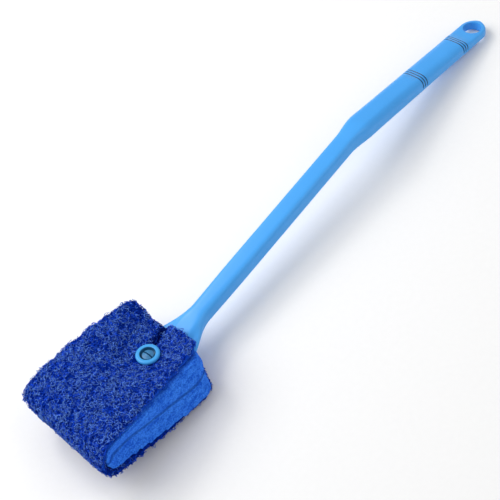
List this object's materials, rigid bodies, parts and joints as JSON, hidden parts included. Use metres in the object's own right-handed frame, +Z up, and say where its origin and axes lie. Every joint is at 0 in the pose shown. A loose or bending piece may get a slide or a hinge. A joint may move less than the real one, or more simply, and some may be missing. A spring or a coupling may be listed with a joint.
{
  "type": "algae scraper",
  "caption": "Long-handled algae scraper: an angled plastic handle with a flat paddle inside a folded foam and scouring fleece pad, held by a snap rivet.",
  "frame": {"origin": "centre of the overall box in plan, at the table surface that the scraper lies on", "axes": "+X from the pad towards the handle's tip, +Z up out of the pad's upper face, +Y to the side that the pad reaches further on"},
  "size_m": [0.3902, 0.0766, 0.0378],
  "materials": {
    "handle": "light blue moulded plastic, satin gloss",
    "pad_foam": "fine-celled bright blue foam, matt",
    "pad_fleece": "coarse royal blue scouring fleece, matt",
    "rivet_stud": "light blue moulded plastic",
    "rivet_cap": "light blue moulded plastic"
  },
  "bodies": {
    "scraper": {"handle": "handle", "pad_foam": "pad_foam", "pad_fleece": "pad_fleece"},
    "stud": {"rivet_stud": "rivet_stud"},
    "cap": {"rivet_cap": "rivet_cap"}
  },
  "joints": [
    {"name": "stud_turn", "type": "hinge", "parent": "scraper", "child": "stud", "pos_m": [-0.12966, -0.00329, 0.01856], "axis": [0.1392, 0, 0.9903], "continuous": true},
    {"name": "cap_pull", "type": "slide", "parent": "stud", "child": "cap", "axis": [0.1392, 0, 0.9903], "range_m": [0, 0.02], "deforming": ["rivet_stud"]}
  ]
}
